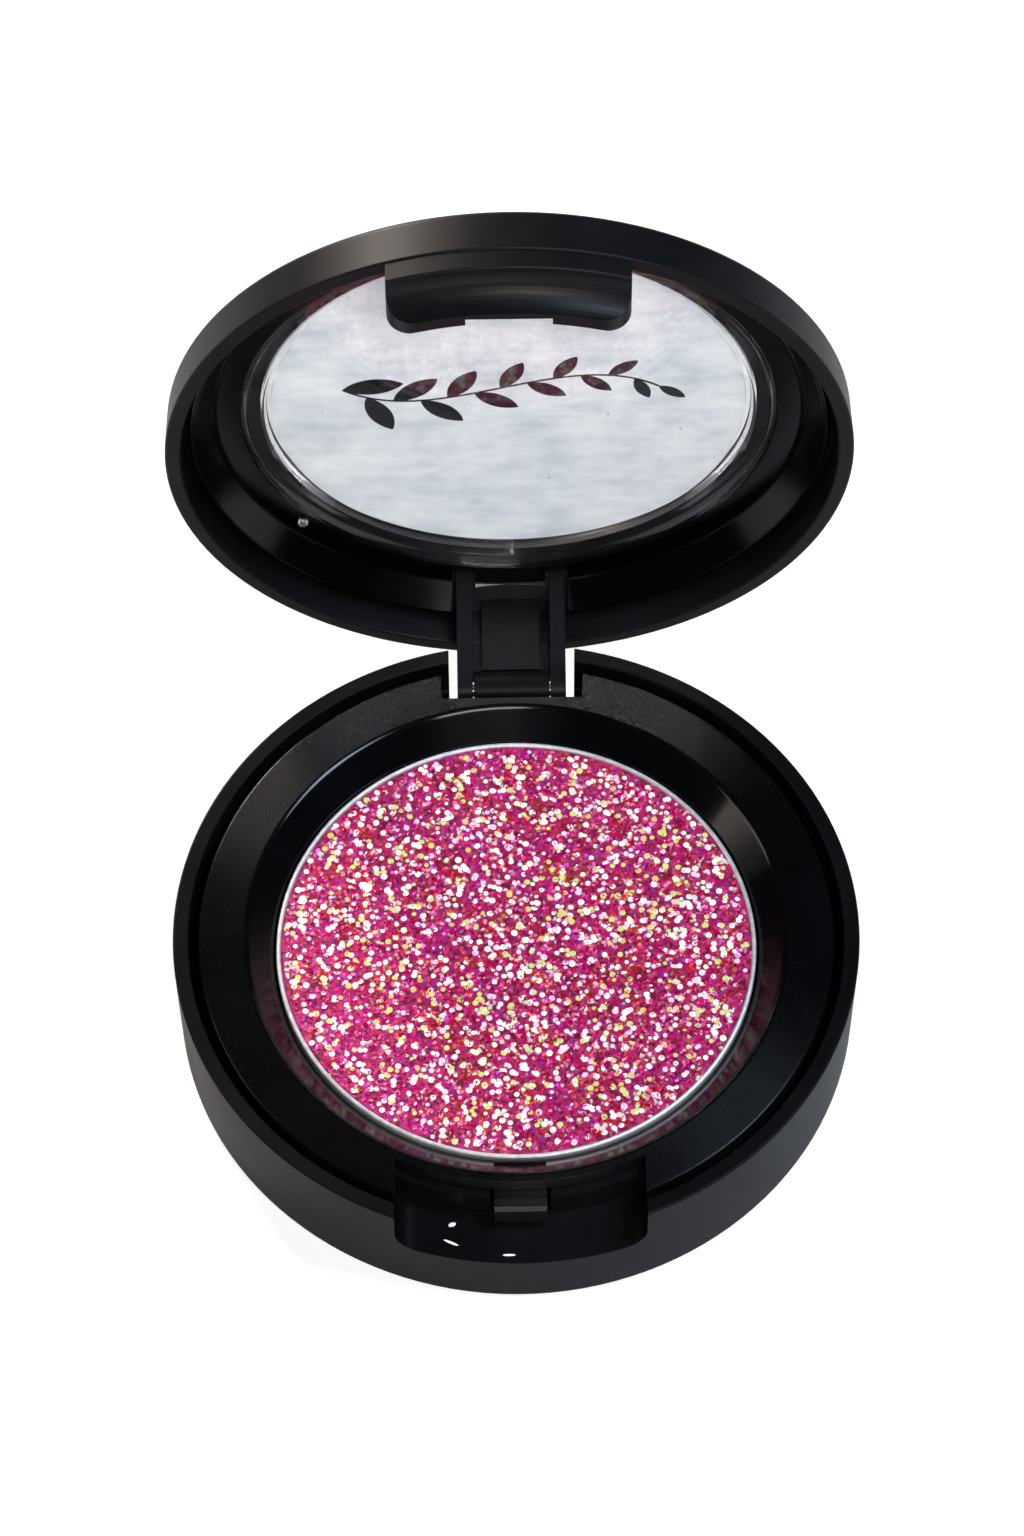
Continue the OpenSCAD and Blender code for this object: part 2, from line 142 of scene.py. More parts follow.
def growMesh(tree, sockets, values, name):
    seedMesh = bpy.data.meshes.new(name + "Seed")
    holder = bpy.data.objects.new(name + "Holder", seedMesh)
    bpy.context.scene.collection.objects.link(holder)
    modifier = holder.modifiers.new("grow", "NODES")
    modifier.node_group = tree
    for key, value in values.items():
        modifier[sockets[key]] = value
    graph = bpy.context.evaluated_depsgraph_get()
    mesh = bpy.data.meshes.new_from_object(holder.evaluated_get(graph), depsgraph=graph)
    mesh.name = name
    bpy.data.objects.remove(holder)
    return mesh


def dress(name, material):
    slots = nodes[name].data.materials
    slots.clear()
    slots.append(material)


def keepPiece(name, mesh, body, material=None):
    piece = bpy.data.objects.new(name, mesh)
    bpy.context.scene.collection.objects.link(piece)
    if material:
        mesh.materials.append(material)
    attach(piece, body)
    return piece


# camera

shot = {"lens": 140.6, "distance": 0.47354, "elevation": 58.1, "azimuth": -0.5, "roll": -0.38,
        "aim": (-0.00005, 0.0208, 0.0)}


def placeCamera():
    az, el, roll = (math.radians(shot[k]) for k in ("azimuth", "elevation", "roll"))
    forward = Vector((-math.cos(el) * math.sin(az), math.cos(el) * math.cos(az), -math.sin(el)))
    side = Vector((math.cos(az), math.sin(az), 0))
    up = side.cross(forward)
    turn = Matrix((side, up, -forward)).transposed() @ Matrix.Rotation(roll, 3, "Z")
    data = bpy.data.cameras.new("shotCamera")
    data.lens = shot["lens"]
    data.sensor_width = 36
    data.clip_start = 0.01
    data.clip_end = 20
    camera = bpy.data.objects.new("shotCamera", data)
    camera.matrix_world = Matrix.Translation(Vector(shot["aim"]) - forward * shot["distance"]) @ turn.to_4x4()
    bpy.context.scene.collection.objects.link(camera)
    bpy.context.scene.camera = camera


placeCamera()
print("compact: camera placed")

# floor and lights

studio = {"floorRadius": 1.2, "floorDrop": 0.02 * mm, "floorColour": (0.62, 0.62, 0.62), "floorGlow": 0.62,
          "mirroredGlow": 0.10, "worldStrength": 0.012, "worldColour": (0.80, 0.90, 1.0)}

# place and size in metres, power in watts
softboxes = {
    "frontTop": {"at": (0.10, -0.44, 0.62), "size": 0.28, "power": 3.0, "colour": (1.0, 0.99, 0.98)},
    "frontLow": {"at": (-0.05, -0.62, 0.12), "size": 0.24, "power": 0.70, "colour": (0.90, 0.94, 1.0)},
    "backLeft": {"at": (-0.21, 0.41, 0.23), "size": 0.13, "power": 2.6, "colour": (1.0, 0.88, 0.80)},
    "rightBlue": {"at": (0.28, -0.01, 0.49), "size": 0.18, "power": 1.8, "colour": (0.66, 0.80, 1.0)},
    "leftWarm": {"at": (-0.46, 0.02, 0.24), "size": 0.20, "power": 0.35, "colour": (1.0, 0.90, 0.82)},
}


def buildStudio():
    mesh = bpy.data.meshes.new("floor")
    disc = bmesh.new()
    bmesh.ops.create_circle(disc, cap_ends=True, segments=128, radius=studio["floorRadius"])
    disc.to_mesh(mesh)
    floor = bpy.data.objects.new("floor", mesh)
    floor.location.z = -studio["floorDrop"]
    bpy.context.scene.collection.objects.link(floor)
    paper, tree, skin = newMaterial("floorPaper")
    skin.inputs["Base Color"].default_value = (*studio["floorColour"], 1)
    skin.inputs["Roughness"].default_value = 0.9
    skin.inputs["Specular IOR Level"].default_value = 0.1
    skin.inputs["Emission Color"].default_value = (1, 1, 1, 1)
    # the paper glows less in the black mouldings' reflections than to the eye
    seen = addNode(tree, "ShaderNodeLightPath").outputs["Is Camera Ray"]
    glow = spread(tree, seen, studio["mirroredGlow"], studio["floorGlow"], 0.0, 1.0)
    tree.links.new(glow, skin.inputs["Emission Strength"])
    mesh.materials.append(paper)
    world = bpy.data.worlds.new("studioWorld")
    world.use_nodes = True
    bpy.context.scene.world = world
    back = world.node_tree.nodes["Background"]
    back.inputs["Color"].default_value = (*studio["worldColour"], 1)
    back.inputs["Strength"].default_value = studio["worldStrength"]
    for name, box in softboxes.items():
        data = bpy.data.lights.new(name, "AREA")
        data.shape = "SQUARE"
        data.size = box["size"]
        data.energy = box["power"]
        data.color = box["colour"]
        lamp = bpy.data.objects.new(name, data)
        lamp.location = box["at"]
        lamp.rotation_euler = (-Vector(box["at"])).to_track_quat("-Z", "Y").to_euler()
        bpy.context.scene.collection.objects.link(lamp)
    bpy.context.scene.view_settings.view_transform = "Standard"


buildStudio()
print("compact: floor and", len(softboxes), "softboxes")

# moulded plastic

moulding = {
    "base": {"black": (0.0026, 0.0026, 0.0030), "rough": (0.36, 0.44), "grain": 0.11 * mm, "depth": 0.004 * mm,
             "gloss": 0.11, "turned": 0.0},
    # the lid's black is the base's plastic painted lighter and bluer, a painted sheen for the light the lid catches
    "lid": {"black": (0.0044, 0.0045, 0.0054), "rough": (0.34, 0.44), "grain": 0.12 * mm, "depth": 0.003 * mm,
            "gloss": 0.15, "turned": 0.0},
    "deck": {"black": (0.0016, 0.0016, 0.0021), "rough": (0.25, 0.31), "grain": 0.16 * mm, "depth": 0.0005 * mm,
             "gloss": 0.32, "turned": 0.8, "smoothWithin": 20.7 * mm, "smooth": 0.13},
    "liner": {"black": (0.0008, 0.0008, 0.0011), "rough": (0.15, 0.21), "grain": 1.6 * mm, "depth": 0.001 * mm,
              "gloss": 0.25, "turned": 0.0},
}
mouldedSkin = {"edge": 0.05 * mm, "cloud": 7 * mm, "lighter": 1.7, "wear": 0.35}


def blackPlastic(name, look):
    material, tree, skin = newMaterial(name)
    point = objectPoint(tree)
    cloud = noise(tree, point, mouldedSkin["cloud"], 3)
    grain = noise(tree, point, look["grain"], 2, 0.6)
    dark = look["black"]
    lighter = [mouldedSkin["lighter"] * c for c in dark]
    skin.inputs["Specular IOR Level"].default_value = look["gloss"]
    tree.links.new(ramp(tree, cloud, [(0.35, dark), (0.7, lighter)]), skin.inputs["Base Color"])
    wear = addNode(tree, "ShaderNodeMix", {0: mouldedSkin["wear"], 2: cloud, 3: grain}).outputs[0]
    rough = spread(tree, wear, *look["rough"])
    if look["turned"]:
        # the slope and the well inside the deck are polished
        outside = calc(tree, "GREATER_THAN", fromAxis(tree), look["smoothWithin"])
        rough = addNode(tree, "ShaderNodeMix", {0: outside, 2: look["smooth"], 3: rough}).outputs[0]
    tree.links.new(rough, skin.inputs["Roughness"])
    # moulded edges are never quite sharp
    soft = addNode(tree, "ShaderNodeBevel", {"Radius": mouldedSkin["edge"]}, samples=4).outputs[0]
    skinBump = addNode(tree, "ShaderNodeBump", {"Height": grain, "Distance": look["depth"], "Normal": soft})
    tree.links.new(skinBump.outputs[0], skin.inputs["Normal"])
    if look["turned"]:
        # fine turning marks run round the axis
        skin.inputs["Anisotropic"].default_value = look["turned"]
        skin.inputs["Anisotropic Rotation"].default_value = 0.25
        tangent = addNode(tree, "ShaderNodeTangent", direction_type="RADIAL", axis="Z")
        tree.links.new(tangent.outputs[0], skin.inputs["Tangent"])
    return material


dress("base_shell", blackPlastic("baseSatinBlack", moulding["base"]))
dress("lid_shell", blackPlastic("lidSatinBlackPaintedLighter", moulding["lid"]))
dress("base_frame", blackPlastic("deckTurnedSatin", moulding["deck"]))
dress("lid_liner", blackPlastic("linerGlossBlack", moulding["liner"]))
print("compact: black mouldings dressed")

# metal

metals = {
    "pan": {"colour": (0.98, 0.95, 0.95), "rough": (0.36, 0.50), "grain": 0.5 * mm, "stretch": (1, 1, 1),
            "metal": 0.55, "relief": 0.003 * mm},
    "pin": {"colour": (0.60, 0.60, 0.62), "rough": (0.19, 0.33), "grain": 0.3 * mm, "stretch": (0.1, 1, 1),
            "metal": 1.0, "relief": 0.003 * mm},
}


def bareMetal(name, look):
    material, tree, skin = newMaterial(name)
    grain = noise(tree, objectPoint(tree, look["stretch"]), look["grain"], 3)
    colour = look["colour"]
    shade = [0.8 * c for c in colour]
    skin.inputs["Metallic"].default_value = look["metal"]
    tree.links.new(ramp(tree, grain, [(0.3, shade), (0.7, colour)]), skin.inputs["Base Color"])
    tree.links.new(spread(tree, grain, *look["rough"]), skin.inputs["Roughness"])
    tree.links.new(bump(tree, grain, look["relief"]), skin.inputs["Normal"])
    return material


dress("eyeshadow_pan", bareMetal("stampedPanMetal", metals["pan"]))
dress("hinge_pin", bareMetal("drawnPinSteel", metals["pin"]))

# glue and paper label

glue = {"bubble": 1.2 * mm, "dark": (0.62, 0.58, 0.46), "light": (0.80, 0.77, 0.66), "relief": 0.02 * mm,
        "depth": (0.8 * mm, 0.6 * mm, 0.4 * mm)}


def glueSpot():
    material, tree, skin = newMaterial("glueSpot")
    bubbles = noise(tree, objectPoint(tree), glue["bubble"], 3)
    tree.links.new(ramp(tree, bubbles, [(0.35, glue["dark"]), (0.7, glue["light"])]), skin.inputs["Base Color"])
    skin.inputs["Roughness"].default_value = 0.3
    skin.inputs["Subsurface Weight"].default_value = 0.3
    skin.inputs["Subsurface Radius"].default_value = glue["depth"]
    tree.links.new(bump(tree, bubbles, glue["relief"]), skin.inputs["Normal"])
    return material


label = {"border": 20.6 * mm, "borderWidth": 0.25 * mm, "ink": (0.10, 0.10, 0.11), "fibre": 0.5 * mm,
         "dark": (0.72, 0.72, 0.70), "light": (0.86, 0.86, 0.84), "relief": 0.01 * mm}


def paperLabel():
    material, tree, skin = newMaterial("undersidePaper")
    fibres = noise(tree, objectPoint(tree, (1, 6, 1)), label["fibre"], 4)
    paper = ramp(tree, fibres, [(0.3, label["dark"]), (0.7, label["light"])])
    # a fine printed ring near the label's edge
    away = calc(tree, "ABSOLUTE", calc(tree, "SUBTRACT", fromAxis(tree), label["border"]))
    printed = calc(tree, "LESS_THAN", away, label["borderWidth"] / 2)
    inked = addNode(tree, "ShaderNodeMix", {0: printed, 6: paper, 7: (*label["ink"], 1)}, data_type="RGBA")
    tree.links.new(inked.outputs[2], skin.inputs["Base Color"])
    skin.inputs["Roughness"].default_value = 0.75
    tree.links.new(bump(tree, fibres, label["relief"]), skin.inputs["Normal"])
    return material


dress("pan_glue", glueSpot())
dress("base_label", paperLabel())

# pressed glitter

cake = {
    "cell": 0.30 * mm, "relief": 0.06 * mm, "crown": 0.08 * mm,
    "tones": [(0.00, (0.16, 0.002, 0.030)), (0.22, (0.42, 0.006, 0.090)), (0.50, (0.55, 0.012, 0.170)),
              (0.74, (0.36, 0.010, 0.200)), (0.86, (0.62, 0.060, 0.160)), (0.95, (0.85, 0.70, 0.62))],
}


def cakeBinder():
    material, tree, skin = newMaterial("pressedGlitterCake")
    point = objectPoint(tree)
    cells = addNode(tree, "ShaderNodeTexVoronoi", {"Vector": point, "Scale": 1 / cake["cell"]})
    pick = addNode(tree, "ShaderNodeSeparateColor", {0: cells.outputs["Color"]}).outputs[0]
    tree.links.new(ramp(tree, pick, cake["tones"], True), skin.inputs["Base Color"])
    skin.inputs["Roughness"].default_value = 0.45
    tree.links.new(bump(tree, cells.outputs["Distance"], cake["relief"]), skin.inputs["Normal"])
    return material


dress("glitter_cake", cakeBinder())

# the cake is mostly fine pink flakes, with larger pale ones lying flat on top; the pale ones are partly real cream
# and gold flakes, and their near-white tones and slight glow are painted glints
flakeSorts = {
    "pinkFlakes": {
        "perSquareMetre": 15.0e6, "small": 0.09 * mm, "large": 0.21 * mm, "tilt": 0.60, "lift": 0.0,
        "layer": 0.05 * mm, "corners": 6, "seed": 7, "metal": 0.30, "glow": 0.0,
        "tones": [(0.00, (0.38, 0.002, 0.045)), (0.16, (0.70, 0.004, 0.115)), (0.42, (0.86, 0.012, 0.230)),
                  (0.62, (0.90, 0.070, 0.360)), (0.72, (0.50, 0.020, 0.480)), (0.79, (0.82, 0.140, 0.130)),
                  (0.86, (0.95, 0.330, 0.520)), (0.95, (1.00, 0.780, 0.820))]},
    "palePaintedGlintFlakes": {
        "perSquareMetre": 1.9e6, "small": 0.15 * mm, "large": 0.27 * mm, "tilt": 0.16, "lift": 0.05 * mm,
        # the pale flakes' glow is a painted glint, not a lamp
        "layer": 0.04 * mm, "corners": 9, "seed": 21, "metal": 0.0, "glow": 0.24,
        "tones": [(0.00, (1.00, 0.97, 0.95)), (0.34, (1.00, 0.97, 0.78)), (0.54, (0.72, 0.72, 0.26)),
                  (0.72, (0.80, 0.60, 0.22)), (0.80, (0.95, 0.66, 0.76)), (0.91, (0.82, 0.66, 0.95))]},
}
flakeFilm = {"rough": 0.32, "coat": 0.2, "patch": 2.4 * mm, "drift": (0.472, 0.545), "saturation": 1.06}
flakeBed = {"edgeGap": 0.30 * mm, "sink": 0.01 * mm}


def flakeFinish(name, sort):
    material, tree, skin = newMaterial(name)
    tone = addNode(tree, "ShaderNodeAttribute", attribute_name="flakeTone").outputs["Fac"]
    # neighbouring flakes drift together towards violet or gold
    patch = noise(tree, objectPoint(tree), flakeFilm["patch"], 2)
    shift = spread(tree, patch, *flakeFilm["drift"])
    tint = ramp(tree, tone, sort["tones"], True)
    colour = addNode(tree, "ShaderNodeHueSaturation",
                     {"Hue": shift, "Saturation": flakeFilm["saturation"], "Color": tint}).outputs[0]
    tree.links.new(colour, skin.inputs["Base Color"])
    tree.links.new(colour, skin.inputs["Emission Color"])
    # the glow is painted glint on the pale flakes, as if they caught the lamps
    skin.inputs["Emission Strength"].default_value = sort["glow"]
    skin.inputs["Metallic"].default_value = sort["metal"]
    skin.inputs["Roughness"].default_value = flakeFilm["rough"]
    skin.inputs["Coat Weight"].default_value = flakeFilm["coat"]
    return material


def scatterTree():
    tree, sockets, given = startTree("glitterScatter", (
        ("Radius", "Float"), ("Height", "Float"), ("Crown", "Float"), ("Density", "Float"), ("Small", "Float"),
        ("Large", "Float"), ("Tilt", "Float"), ("Layer", "Float"), ("Corners", "Int"), ("Seed", "Int"),
        ("Finish", "Material")))

    # the random node keeps its number sockets after its vector ones
    def randomBetween(kind, low, high, extra):
        first, result = {"FLOAT": (2, 1), "FLOAT_VECTOR": (0, 0)}[kind]
        inputs = {first: low, first + 1: high, "Seed": calc(tree, "ADD", given["Seed"], extra)}
        return addNode(tree, "FunctionNodeRandomValue", inputs, data_type=kind).outputs[result]

    disc = addNode(tree, "GeometryNodeMeshCircle", {"Radius": given["Radius"], "Vertices": 96}, fill_type="NGON")
    points = addNode(tree, "GeometryNodeDistributePointsOnFaces",
                     {"Mesh": disc.outputs[0], "Density": given["Density"], "Seed": given["Seed"]})
    place = addNode(tree, "GeometryNodeInputPosition").outputs[0]
    reach = addNode(tree, "ShaderNodeVectorMath", {0: place}, operation="LENGTH").outputs["Value"]
    share = calc(tree, "DIVIDE", reach, given["Radius"])
    fall = calc(tree, "MULTIPLY", calc(tree, "MULTIPLY", share, share), given["Crown"])
    lift = calc(tree, "ADD", given["Height"], randomBetween("FLOAT", 0.0, given["Layer"], 1))
    offset = addNode(tree, "ShaderNodeCombineXYZ", {2: calc(tree, "SUBTRACT", lift, fall)}).outputs[0]
    raised = addNode(tree, "GeometryNodeSetPosition", {"Geometry": points.outputs[0], "Offset": offset}).outputs[0]
    flake = addNode(tree, "GeometryNodeMeshCircle", {"Radius": 1.0, "Vertices": given["Corners"]},
                    fill_type="NGON").outputs[0]
    back = calc(tree, "MULTIPLY", given["Tilt"], -1.0)
    least = addNode(tree, "ShaderNodeCombineXYZ", {0: back, 1: back}).outputs[0]
    most = addNode(tree, "ShaderNodeCombineXYZ", {0: given["Tilt"], 1: given["Tilt"], 2: math.tau}).outputs[0]
    laid = addNode(tree, "GeometryNodeInstanceOnPoints",
                   {"Points": raised, "Instance": flake,
                    "Rotation": randomBetween("FLOAT_VECTOR", least, most, 2),
                    "Scale": randomBetween("FLOAT", given["Small"], given["Large"], 3)}).outputs[0]
    toned = addNode(tree, "GeometryNodeStoreNamedAttribute",
                    {"Geometry": laid, "Name": "flakeTone", "Value": randomBetween("FLOAT", 0.0, 1.0, 4)},
                    data_type="FLOAT", domain="INSTANCE").outputs[0]
    endTree(tree, toned, given["Finish"])
    return tree, sockets


def sprinkleGlitter():
    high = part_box("glitter_cake")[1]
    tree, sockets = scatterTree()
    for name, sort in flakeSorts.items():
        values = {"Radius": high.x - flakeBed["edgeGap"], "Height": high.z - flakeBed["sink"] + sort["lift"],
                  "Crown": cake["crown"], "Density": sort["perSquareMetre"], "Small": sort["small"],
                  "Large": sort["large"], "Tilt": sort["tilt"], "Layer": sort["layer"],
                  "Corners": sort["corners"], "Seed": sort["seed"], "Finish": flakeFinish(name + "Film", sort)}
        mesh = growMesh(tree, sockets, values, name)
        keepPiece(name, mesh, "base")
        print("compact:", len(mesh.polygons), name)


sprinkleGlitter()

# clear window

clear = {"tint": (0.97, 0.98, 0.98), "coatBend": 1.42, "coatRough": 0.03, "ripple": 4 * mm, "relief": 0.01 * mm,
         "windowBend": 1.16, "windowRough": 0.02, "gateBend": 1.49, "gateRough": 0.22}


def clearPlastic(name, bend, rough):
    material, tree, skin = newMaterial(name)
    skin.inputs["Base Color"].default_value = (*clear["tint"], 1)
    skin.inputs["Transmission Weight"].default_value = 1
    skin.inputs["IOR"].default_value = bend
    skin.inputs["Roughness"].default_value = rough
    skin.inputs["Coat Weight"].default_value = 1
    skin.inputs["Coat IOR"].default_value = clear["coatBend"]
    skin.inputs["Coat Roughness"].default_value = clear["coatRough"]
    ripple = noise(tree, objectPoint(tree), clear["ripple"], 2)
    tree.links.new(bump(tree, ripple, clear["relief"]), skin.inputs["Normal"])
    # light passes straight through, so the film behind isn't in shadow
    light = addNode(tree, "ShaderNodeLightPath").outputs["Is Shadow Ray"]
    through = addNode(tree, "ShaderNodeBsdfTransparent")
    mix = addNode(tree, "ShaderNodeMixShader", {0: light, 1: skin.outputs[0], 2: through.outputs[0]})
    tree.links.new(mix.outputs[0], tree.nodes["Material Output"].inputs["Surface"])
    return material


dress("lid_window", clearPlastic("clearWindowPlastic", clear["windowBend"], clear["windowRough"]))

# the stub of the moulding gate on the window's rim
gate = {"reach": 21.0 * mm, "angle": 140, "below": 0.95 * mm, "size": 0.40 * mm, "squash": (1.0, 0.8, 0.9),
        "torn": 0.18, "waves": (5100, 3300, 4200)}


def addGateStub():
    centre = shutCentre("lid_window")
    turn = math.radians(gate["angle"])
    alongX, alongY, alongZ = gate["waves"]
    shape = bmesh.new()
    bmesh.ops.create_icosphere(shape, subdivisions=2, radius=gate["size"])
    for vert in shape.verts:
        wave = gate["torn"] * math.sin(alongX * vert.co.x + alongY * vert.co.y)
        wobble = 1 + wave * math.cos(alongZ * vert.co.z)
        vert.co = Vector(c * k for c, k in zip(vert.co, gate["squash"])) * wobble
    place = Vector((gate["reach"] * math.cos(turn), gate["reach"] * math.sin(turn), centre.z - gate["below"]))
    bmesh.ops.translate(shape, verts=shape.verts, vec=place)
    mesh = bpy.data.meshes.new("gateStub")
    shape.to_mesh(mesh)
    mesh.transform(toOpen)
    torn = clearPlastic("tornGatePlastic", clear["gateBend"], clear["gateRough"])
    keepPiece("gateStub", mesh, "lid", torn)


addGateStub()

# printed film

film = {"gap": 0.02 * mm, "thick": 0.12 * mm, "sides": 160, "cloud": 5 * mm, "streak": 1.1 * mm,
        "fine": 0.8 * mm, "relief": 0.02 * mm, "dustSpacing": 2.6 * mm, "dustShare": 0.035,
        "dust": (0.10, 0.10, 0.11), "rough": (0.32, 0.50),
        "tones": [(0.34, (0.50, 0.55, 0.60)), (0.50, (0.68, 0.71, 0.74)), (0.64, (0.82, 0.83, 0.84))]}
backing = {"grain": 0.6 * mm, "dark": (0.30, 0.32, 0.34), "light": (0.40, 0.42, 0.44), "metal": 0.3,
           "rough": (0.60, 0.72), "relief": 0.01 * mm}


def filmFinish():
    material, tree, skin = newMaterial("silverWhiteFilm")
    point = objectPoint(tree)
    mottle = noise(tree, point, film["cloud"], 5, 0.65)
    streaks = noise(tree, objectPoint(tree, (0.25, 1, 1)), film["streak"], 4, 0.6)
    blend = addNode(tree, "ShaderNodeMix", {0: 0.35, 2: mottle, 3: streaks}).outputs[0]
    silver = ramp(tree, blend, film["tones"])
    # a few dust specks caught under the film
    cells = addNode(tree, "ShaderNodeTexVoronoi", {"Vector": point, "Scale": 1 / film["dustSpacing"]})
    dot = calc(tree, "LESS_THAN", cells.outputs["Distance"], film["dustShare"])
    shade = addNode(tree, "ShaderNodeMix", {0: dot, 6: silver, 7: (*film["dust"], 1)}, data_type="RGBA")
    tree.links.new(shade.outputs[2], skin.inputs["Base Color"])
    tree.links.new(spread(tree, noise(tree, point, film["fine"], 3), *film["rough"]), skin.inputs["Roughness"])
    tree.links.new(bump(tree, mottle, film["relief"]), skin.inputs["Normal"])
    return material


def filmOutside():
    material, tree, skin = newMaterial("silverFilmOutside")
    brushed = noise(tree, objectPoint(tree, (0.3, 1, 1)), backing["grain"], 4, 0.6)
    tree.links.new(ramp(tree, brushed, [(0.3, backing["dark"]), (0.7, backing["light"])]), skin.inputs["Base Color"])
    tree.links.new(spread(tree, brushed, *backing["rough"]), skin.inputs["Roughness"])
    skin.inputs["Metallic"].default_value = backing["metal"]
    tree.links.new(bump(tree, brushed, backing["relief"]), skin.inputs["Normal"])
    return material


def layFilm():
    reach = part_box("lid_label")[1].x
    centre = shutCentre("lid_label")
    depth = film["thick"] - film["gap"]
    middle = centre.z + film["gap"] / 2
    shape = bmesh.new()
    bmesh.ops.create_cone(shape, cap_ends=True, segments=film["sides"], radius1=reach, radius2=reach, depth=depth)
    bmesh.ops.translate(shape, verts=shape.verts, vec=(0, 0, middle))
    mesh = bpy.data.meshes.new("lidFilm")
    shape.to_mesh(mesh)
    # the print faces inward through the window, and the outer face is plain silver
    for face in mesh.polygons:
        face.material_index = 1 if face.normal.z > 0.5 else 0
    mesh.transform(toOpen)
    piece = keepPiece("lidFilm", mesh, "lid", filmFinish())
    mesh.materials.append(filmOutside())
    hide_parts("lid_label")
    return middle, depth


filmMiddle, filmDepth = layFilm()
print("compact: window and film")

# printed leaf sprig

sprig = {"length": 24.0 * mm, "bend": 5.2 * mm, "leaves": 13, "leafLong": 2.35 * mm, "leafShort": 1.25 * mm,
         "slim": 0.40, "open": 0.78, "stem": 0.42 * mm, "overlap": 0.012 * mm, "weld": 0.001 * mm,
         "at": (-0.6 * mm, -1.6 * mm)}
ink = {"blot": 0.9 * mm, "dark": (0.003, 0.003, 0.004), "light": (0.007, 0.007, 0.009)}


def inkFinish():
    material, tree, skin = newMaterial("printedLeafInk")
    blot = noise(tree, objectPoint(tree), ink["blot"], 3)
    tree.links.new(ramp(tree, blot, [(0.3, ink["dark"]), (0.7, ink["light"])]), skin.inputs["Base Color"])
    skin.inputs["Roughness"].default_value = 0.4
    skin.inputs["Specular IOR Level"].default_value = 0.2
    return material


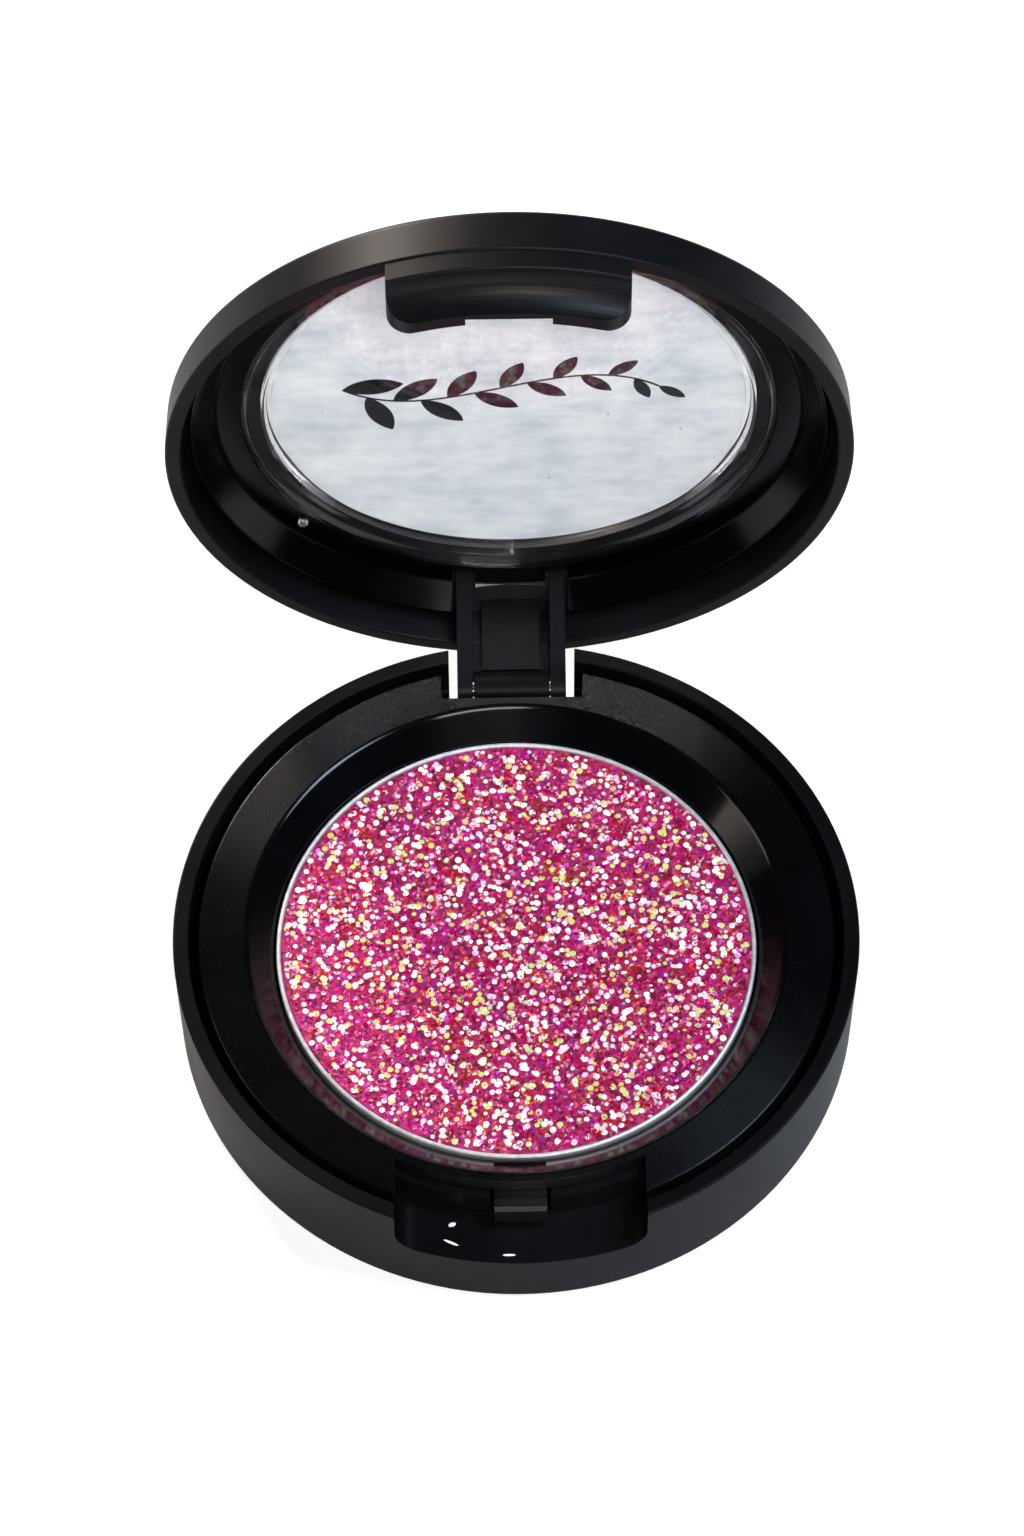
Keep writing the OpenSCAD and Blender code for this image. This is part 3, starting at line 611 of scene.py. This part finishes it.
def sprigTree():
    tree, sockets, given = startTree("leafSprig", (
        ("Length", "Float"), ("Bend", "Float"), ("Leaves", "Int"), ("Leaf Long", "Float"), ("Leaf Short", "Float"),
        ("Slim", "Float"), ("Open", "Float"), ("Stem", "Float"), ("Depth", "Float"), ("Ink", "Material")))

    def at(x=0.0, y=0.0, z=0.0):
        return addNode(tree, "ShaderNodeCombineXYZ", {0: x, 1: y, 2: z}).outputs[0]

    def parts(vector):
        return addNode(tree, "ShaderNodeSeparateXYZ", {0: vector}).outputs

    half = calc(tree, "MULTIPLY", given["Length"], 0.5)
    back = calc(tree, "MULTIPLY", half, -1.0)
    dip = calc(tree, "MULTIPLY", given["Bend"], -1.0)
    path = addNode(tree, "GeometryNodeCurvePrimitiveBezierSegment",
                   {"Start": at(back, 0.0), "Start Handle": at(calc(tree, "MULTIPLY", back, 0.4), given["Bend"]),
                    "End Handle": at(calc(tree, "MULTIPLY", half, 0.4), dip), "End": at(half, 0.0),
                    "Resolution": 40}).outputs[0]

    # a leaf outline: a round drawn in to a point at both ends, its root at the origin
    disc = addNode(tree, "GeometryNodeMeshCircle", {"Radius": 1.0, "Vertices": 28}, fill_type="NGON").outputs[0]
    outline = parts(addNode(tree, "GeometryNodeInputPosition").outputs[0])
    pinch = calc(tree, "POWER", calc(tree, "ABSOLUTE", outline[1]), 0.7)
    narrow = calc(tree, "MULTIPLY", calc(tree, "MULTIPLY", outline[1], pinch), given["Slim"])
    leaf = addNode(tree, "GeometryNodeSetPosition",
                   {"Geometry": disc, "Position": at(calc(tree, "ADD", outline[0], 1.0), narrow)}).outputs[0]

    # leaves stand alternately on both sides of the stem and get smaller along it
    points = addNode(tree, "GeometryNodeCurveToPoints", {"Curve": path, "Count": given["Leaves"]}, mode="COUNT")
    aim = parts(points.outputs["Tangent"])
    heading = calc(tree, "ARCTAN2", aim[1], aim[0])
    index = addNode(tree, "GeometryNodeInputIndex").outputs[0]
    side = calc(tree, "SUBTRACT", calc(tree, "MULTIPLY", calc(tree, "MODULO", index, 2.0), 2.0), 1.0)
    last = calc(tree, "SUBTRACT", given["Leaves"], 1.0)
    # the end leaf carries on along the stem
    isLast = calc(tree, "COMPARE", index, last)
    swing = calc(tree, "MULTIPLY", calc(tree, "MULTIPLY", side, given["Open"]),
                  calc(tree, "SUBTRACT", 1.0, isLast))
    size = addNode(tree, "ShaderNodeMapRange",
                   {"Value": index, "From Min": 0.0, "From Max": last, "To Min": given["Leaf Long"],
                    "To Max": given["Leaf Short"]}).outputs["Result"]
    leaves = addNode(tree, "GeometryNodeInstanceOnPoints",
                     {"Points": points.outputs["Points"], "Instance": leaf,
                      "Rotation": at(0.0, 0.0, calc(tree, "ADD", heading, swing)), "Scale": size}).outputs[0]
    flat = addNode(tree, "GeometryNodeRealizeInstances", {"Geometry": leaves}).outputs[0]
    raised = addNode(tree, "GeometryNodeExtrudeMesh",
                     {"Mesh": flat, "Offset": at(0.0, 0.0, 1.0), "Offset Scale": given["Depth"],
                      "Individual": False}, mode="FACES").outputs[0]
    under = addNode(tree, "GeometryNodeFlipFaces", {"Mesh": flat}).outputs[0]
    blades = addNode(tree, "GeometryNodeJoinGeometry")
    tree.links.new(raised, blades.inputs[0])
    tree.links.new(under, blades.inputs[0])
    closed = addNode(tree, "GeometryNodeMergeByDistance",
                     {"Geometry": blades.outputs[0], "Distance": sprig["weld"]}).outputs[0]

    # the stem is a tube pressed flat to the depth of the print
    ring = addNode(tree, "GeometryNodeCurvePrimitiveCircle",
                   {"Resolution": 10, "Radius": calc(tree, "MULTIPLY", given["Stem"], 0.5)}).outputs[0]
    tube = addNode(tree, "GeometryNodeCurveToMesh",
                   {"Curve": path, "Profile Curve": ring, "Fill Caps": True}).outputs[0]
    here = parts(addNode(tree, "GeometryNodeInputPosition").outputs[0])
    share = calc(tree, "ADD", calc(tree, "DIVIDE", here[2], given["Stem"]), 0.5)
    pressed = addNode(tree, "GeometryNodeSetPosition",
                      {"Geometry": tube, "Position": at(here[0], here[1],
                                                        calc(tree, "MULTIPLY", share, given["Depth"]))}).outputs[0]
    both = addNode(tree, "GeometryNodeJoinGeometry")
    tree.links.new(closed, both.inputs[0])
    tree.links.new(pressed, both.inputs[0])
    endTree(tree, both.outputs[0], given["Ink"])
    return tree, sockets


def printSprig():
    tree, sockets = sprigTree()
    depth = filmDepth + 2 * sprig["overlap"]
    values = {"Length": sprig["length"], "Bend": sprig["bend"], "Leaves": sprig["leaves"],
              "Leaf Long": sprig["leafLong"], "Leaf Short": sprig["leafShort"], "Slim": sprig["slim"],
              "Open": sprig["open"], "Stem": sprig["stem"], "Depth": depth, "Ink": inkFinish()}
    mesh = growMesh(tree, sockets, values, "labelSprig")
    mesh.transform(toOpen @ Matrix.Translation((*sprig["at"], filmMiddle - depth / 2)))
    keepPiece("labelSprig", mesh, "lid")
    print("compact:", len(mesh.polygons), "faces in the printed sprig")


printSprig()

# pale glowing flakes in the finger pocket: painted glints where light catches the moulding's edge

# place in mm, half width, half length and turn in degrees
paintedGlints = {
    "thick": 0.02,
    "flakes": [((-5.1, -22.6, 5.63), 0.17, 0.30, 20), ((-5.2, -24.1, 5.63), 0.10, 0.62, -25),
               ((-0.9, -25.2, 5.63), 0.09, 0.50, 0)],
}


def addPaintedGlints():
    shape = bmesh.new()
    for place, wide, long, turn in paintedGlints["flakes"]:
        size = Matrix.Diagonal((long * mm, wide * mm, paintedGlints["thick"] * mm, 1))
        at = Matrix.Translation(Vector(place) * mm) @ Matrix.Rotation(math.radians(turn), 4, "Z") @ size
        bmesh.ops.create_cone(shape, cap_ends=True, segments=8, radius1=1, radius2=1, depth=1, matrix=at)
    mesh = bpy.data.meshes.new("pocketPaintedGlints")
    shape.to_mesh(mesh)
    # they take the pale flakes' glowing finish, as painted glints
    keepPiece("pocketPaintedGlints", mesh, "base", flakeFinish("paintedGlintFilm", flakeSorts["palePaintedGlintFlakes"]))


addPaintedGlints()
print("compact: paintedGlint flakes")
